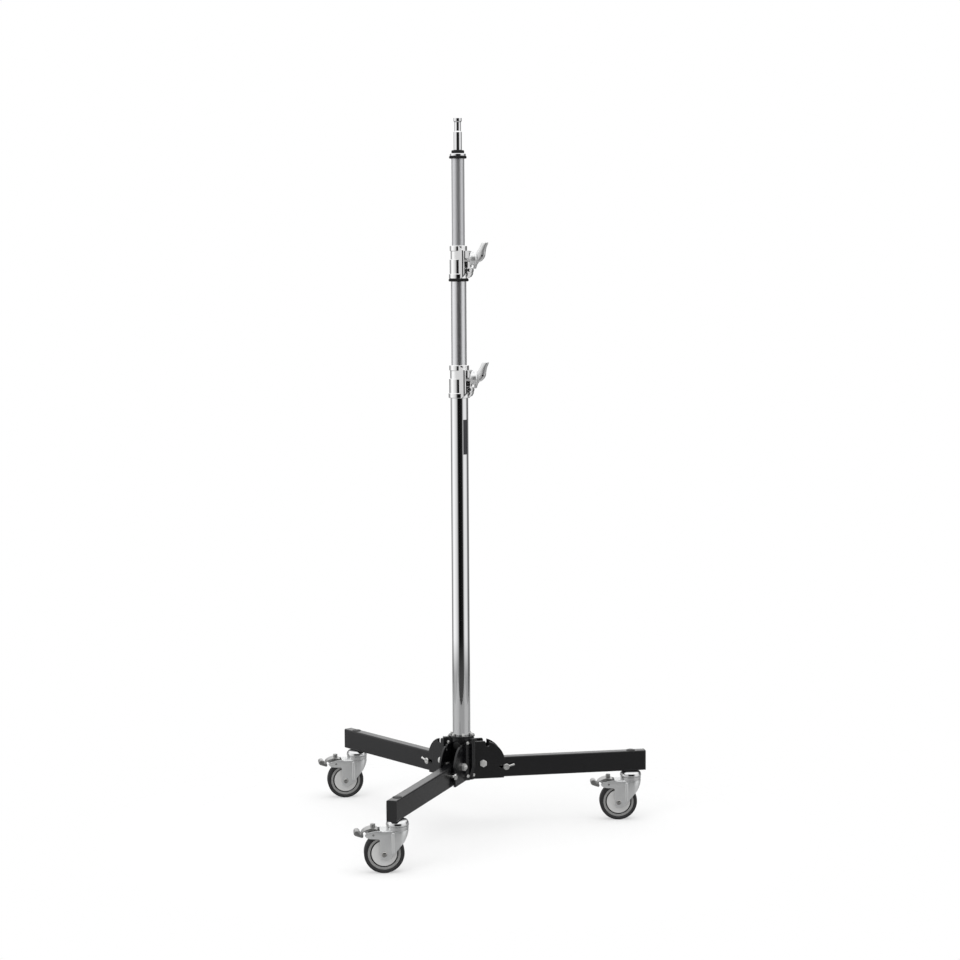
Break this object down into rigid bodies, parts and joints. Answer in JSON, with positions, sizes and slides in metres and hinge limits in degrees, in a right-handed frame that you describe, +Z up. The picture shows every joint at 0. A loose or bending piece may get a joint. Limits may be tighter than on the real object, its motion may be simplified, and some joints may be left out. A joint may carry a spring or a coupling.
{
  "type": "wheeled light stand",
  "caption": "Folding roller stand: black tripod base on braked swivel casters, chromed telescopic column with wing-knob clamps and a mounting stud on top",
  "frame": {"origin": "the point of the floor under the column's axis, at the height of the wheels' lowest points", "axes": "+Z up along the column and the stud, +X along leg a from above, +Y by the right-hand rule"},
  "size_m": [0.6271, 0.656, 1.394],
  "materials": {
    "powder_coat": "satin black powder coat",
    "chrome_tube": "bright chrome plate",
    "chrome_casting": "chrome plate on a zinc casting",
    "bright_hardware": "bright zinc plate",
    "zinc_plate": "satin zinc plate on pressed steel",
    "tread_rubber": "matte black rubber",
    "black_rubber": "matte black rubber",
    "grey_plastic": "light grey moulded plastic",
    "black_plastic": "black moulded plastic"
  },
  "bodies": {
    "base": {"hub_sleeve": "powder_coat", "hub_screws": "bright_hardware", "plate_screws": "bright_hardware", "pivot_bolts": "bright_hardware", "pivot_nuts": "bright_hardware", "pivot_spacers": "bright_hardware", "leg_bumpers": "black_rubber", "column_tube": "chrome_tube", "column_foot": "black_plastic", "clamp_collar_lower": "chrome_casting", "side_plate_a_left": "powder_coat", "side_plate_a_right": "powder_coat", "side_plate_b_left": "powder_coat", "side_plate_b_right": "powder_coat", "side_plate_c_left": "powder_coat", "side_plate_c_right": "powder_coat"},
    "leg_a": {"leg_tube_a": "powder_coat", "leg_end_cap_a": "black_plastic", "stem_plug_a": "black_plastic", "caster_head_a": "zinc_plate"},
    "lock_a": {"lock_pin_a": "bright_hardware"},
    "caster_a": {"caster_fork_a": "zinc_plate", "axle_a": "zinc_plate"},
    "wheel_a": {"tread_a": "tread_rubber", "wheel_hub_a": "grey_plastic"},
    "brake_a": {"brake_pedal_a": "bright_hardware"},
    "leg_b": {"leg_tube_b": "powder_coat", "leg_end_cap_b": "black_plastic", "stem_plug_b": "black_plastic", "caster_head_b": "zinc_plate"},
    "lock_b": {"lock_pin_b": "bright_hardware"},
    "caster_b": {"caster_fork_b": "zinc_plate", "axle_b": "zinc_plate"},
    "wheel_b": {"tread_b": "tread_rubber", "wheel_hub_b": "grey_plastic"},
    "brake_b": {"brake_pedal_b": "bright_hardware"},
    "leg_c": {"leg_tube_c": "powder_coat", "leg_end_cap_c": "black_plastic", "stem_plug_c": "black_plastic", "caster_head_c": "zinc_plate"},
    "lock_c": {"lock_pin_c": "bright_hardware"},
    "caster_c": {"caster_fork_c": "zinc_plate", "axle_c": "zinc_plate"},
    "wheel_c": {"tread_c": "tread_rubber", "wheel_hub_c": "grey_plastic"},
    "brake_c": {"brake_pedal_c": "bright_hardware"},
    "riser_lower": {"riser_tube_lower": "chrome_tube", "riser_foot_lower": "black_plastic", "clamp_collar_upper": "chrome_casting", "rest_ring": "black_rubber"},
    "riser_upper": {"riser_tube_upper": "chrome_tube", "riser_foot_upper": "black_plastic", "top_ring": "black_rubber", "top_cap": "chrome_casting", "stud_ring": "black_rubber", "mounting_stud": "bright_hardware"},
    "knob_lower": {"wing_knob_lower": "chrome_casting", "clamp_screw_lower": "bright_hardware"},
    "knob_upper": {"wing_knob_upper": "chrome_casting", "clamp_screw_upper": "bright_hardware"}
  },
  "joints": [
    {"name": "leg_a_fold", "type": "hinge", "parent": "base", "child": "leg_a", "pos_m": [0.04, 0, 0.131], "axis": [0, -1, 0], "range_deg": [0, 90]},
    {"name": "lock_a_slide", "type": "slide", "parent": "leg_a", "child": "lock_a", "axis": [1, 0, 0], "range_m": [-0.0104, 0]},
    {"name": "caster_a_swivel", "type": "hinge", "parent": "leg_a", "child": "caster_a", "pos_m": [0.344, 0, 0.0875], "axis": [0, 0, 1], "continuous": true},
    {"name": "wheel_a_spin", "type": "hinge", "parent": "caster_a", "child": "wheel_a", "pos_m": [0.31931, 0.00391, 0.0375], "axis": [-0.1564, -0.9877, 0], "continuous": true},
    {"name": "brake_a_pedal", "type": "hinge", "parent": "caster_a", "child": "brake_a", "pos_m": [0.29955, 0.00704, 0.0735], "axis": [-0.1564, -0.9877, 0], "range_deg": [0, 7]},
    {"name": "leg_b_fold", "type": "hinge", "parent": "base", "child": "leg_b", "pos_m": [-0.02, -0.03464, 0.131], "axis": [-0.866, 0.5, 0], "range_deg": [0, 90]},
    {"name": "lock_b_slide", "type": "slide", "parent": "leg_b", "child": "lock_b", "axis": [-0.5, -0.866, 0], "range_m": [-0.0104, 0]},
    {"name": "caster_b_swivel", "type": "hinge", "parent": "leg_b", "child": "caster_b", "pos_m": [-0.172, -0.29791, 0.0875], "axis": [0, 0, 1], "continuous": true},
    {"name": "wheel_b_spin", "type": "hinge", "parent": "caster_b", "child": "wheel_b", "pos_m": [-0.19686, -0.2953, 0.0375], "axis": [-0.1045, -0.9945, 0], "continuous": true},
    {"name": "brake_b_pedal", "type": "hinge", "parent": "caster_b", "child": "brake_b", "pos_m": [-0.21675, -0.29321, 0.0735], "axis": [-0.1045, -0.9945, 0], "range_deg": [0, 7]},
    {"name": "leg_c_fold", "type": "hinge", "parent": "base", "child": "leg_c", "pos_m": [-0.02, 0.03464, 0.131], "axis": [0.866, 0.5, 0], "range_deg": [0, 90]},
    {"name": "lock_c_slide", "type": "slide", "parent": "leg_c", "child": "lock_c", "axis": [-0.5, 0.866, 0], "range_m": [-0.0104, 0]},
    {"name": "caster_c_swivel", "type": "hinge", "parent": "leg_c", "child": "caster_c", "pos_m": [-0.172, 0.29791, 0.0875], "axis": [0, 0, 1], "continuous": true},
    {"name": "wheel_c_spin", "type": "hinge", "parent": "caster_c", "child": "wheel_c", "pos_m": [-0.19698, 0.29879, 0.0375], "axis": [-0.0349, -0.9994, 0], "continuous": true},
    {"name": "brake_c_pedal", "type": "hinge", "parent": "caster_c", "child": "brake_c", "pos_m": [-0.21697, 0.29948, 0.0735], "axis": [-0.0349, -0.9994, 0], "range_deg": [0, 7]},
    {"name": "riser_lower_slide", "type": "slide", "parent": "base", "child": "riser_lower", "axis": [0, 0, 1], "range_m": [-0.162, 0.48]},
    {"name": "riser_upper_slide", "type": "slide", "parent": "riser_lower", "child": "riser_upper", "axis": [0, 0, 1], "range_m": [-0.167, 0.48]},
    {"name": "knob_lower_turn", "type": "hinge", "parent": "base", "child": "knob_lower", "pos_m": [0.02883, -0.01802, 0.894], "axis": [0.848, -0.5299, 0], "range_deg": [0, 360]},
    {"name": "knob_upper_turn", "type": "hinge", "parent": "riser_lower", "child": "knob_upper", "pos_m": [0.02883, -0.01802, 1.125], "axis": [0.848, -0.5299, 0], "range_deg": [0, 360]}
  ]
}
